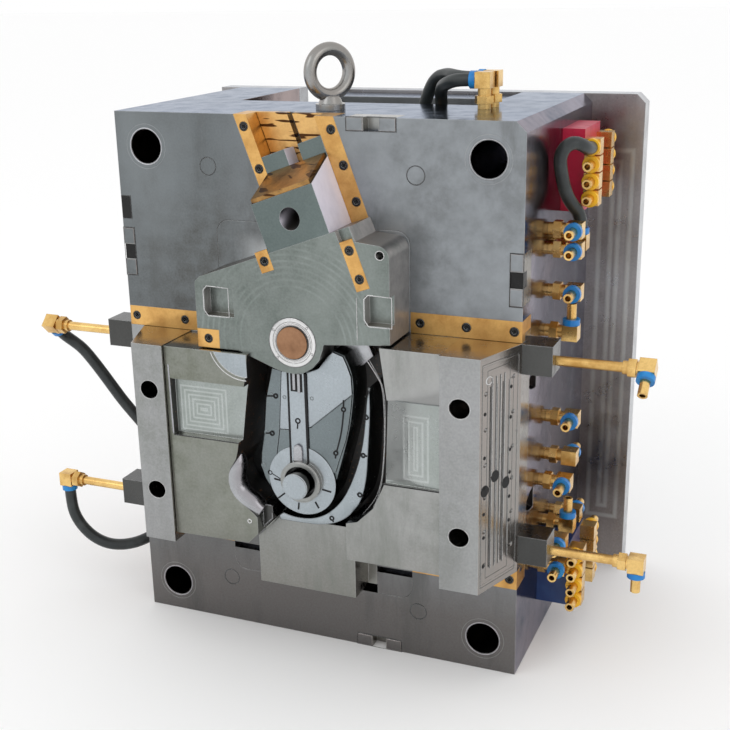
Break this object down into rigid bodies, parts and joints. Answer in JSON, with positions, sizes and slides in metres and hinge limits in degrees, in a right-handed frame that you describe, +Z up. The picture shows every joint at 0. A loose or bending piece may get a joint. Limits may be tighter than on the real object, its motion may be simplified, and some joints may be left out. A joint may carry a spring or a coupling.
{
  "type": "mould base",
  "caption": "Moving half of an injection mould on a mould base, with sliding side cores, an ejector box and water couplings.",
  "frame": {"origin": "on the parting line, at the middle of the plates' bottom edge", "axes": "+X right and +Y back from the parting face to the clamp plate, +Z up as it stands"},
  "size_m": [0.78, 0.414, 0.721],
  "materials": {
    "ground_steel": "ground",
    "hardened_steel": "milled",
    "dark_steel": "blackened",
    "bronze": "machined",
    "brass": "machined",
    "blue_plastic": "gloss",
    "yellow_plastic": "gloss",
    "red_paint": "anodised",
    "blue_paint": "anodised",
    "rubber": "matte"
  },
  "bodies": {
    "mould_base": {"blue_manifold": "blue_paint", "bottom_guide_left": "hardened_steel", "bottom_guide_right": "hardened_steel", "clamp_plate": "ground_steel", "clamp_screws": "dark_steel", "core_hub": "hardened_steel", "core_insert": "hardened_steel", "core_plate": "ground_steel", "core_tongue": "hardened_steel", "eye_bolt": "hardened_steel", "gib_left_lower": "bronze", "gib_left_upper": "bronze", "gib_right_lower": "bronze", "gib_right_upper": "bronze", "gib_screws": "dark_steel", "gib_top_left": "bronze", "gib_top_right": "bronze", "guide_bushes": "hardened_steel", "hose_left_lower": "rubber", "hose_left_upper": "rubber", "hose_manifold": "rubber", "hose_top_back": "rubber", "hose_top_front": "rubber", "manifold_collars": "yellow_plastic", "manifold_nozzles": "brass", "red_manifold": "red_paint", "return_springs": "dark_steel", "side_fitting_collars": "blue_plastic", "side_fittings": "brass", "side_locks": "hardened_steel", "spacer_block_left": "ground_steel", "spacer_block_right": "ground_steel", "stop_discs": "hardened_steel", "support_pillars": "ground_steel", "top_wear_plates": "bronze"},
    "right_slide": {"right_slide_body": "hardened_steel", "right_insert_upper": "hardened_steel", "right_insert_lower": "hardened_steel", "right_port_blocks": "dark_steel", "right_pipes": "brass", "right_pipe_collars": "blue_plastic", "right_lock_plate": "hardened_steel"},
    "left_slide": {"left_slide_body": "hardened_steel", "left_insert": "hardened_steel", "left_port_blocks": "dark_steel", "left_pipes": "brass", "left_pipe_collars": "blue_plastic", "left_lock_plate": "hardened_steel"},
    "top_slide": {"top_carrier": "hardened_steel", "top_lock_plate": "bronze", "top_slide_body": "hardened_steel", "top_plug": "bronze", "top_plug_ring": "hardened_steel", "top_retainer_strips": "bronze", "top_strip_screws": "dark_steel"},
    "bottom_slide": {"bottom_slide": "hardened_steel"},
    "ejector_set": {"ejector_base_plate": "ground_steel", "ejector_retainer_plate": "ground_steel", "ejector_pins": "hardened_steel", "return_pins": "hardened_steel"}
  },
  "joints": [
    {"name": "right_slide_travel", "type": "slide", "parent": "mould_base", "child": "right_slide", "axis": [1, 0, 0], "range_m": [0, 0.03]},
    {"name": "left_slide_travel", "type": "slide", "parent": "mould_base", "child": "left_slide", "axis": [-1, 0, 0], "range_m": [0, 0.03]},
    {"name": "top_slide_travel", "type": "slide", "parent": "mould_base", "child": "top_slide", "axis": [-0.342, 0, 0.9397], "range_m": [0, 0.03]},
    {"name": "bottom_slide_travel", "type": "slide", "parent": "mould_base", "child": "bottom_slide", "axis": [0, 0, -1], "range_m": [0, 0.011]},
    {"name": "ejection", "type": "slide", "parent": "mould_base", "child": "ejector_set", "axis": [0, -1, 0], "range_m": [0, 0.06], "stiffness_N_per_m": 12000, "springref_m": -0.02, "deforming": ["return_springs"]}
  ]
}
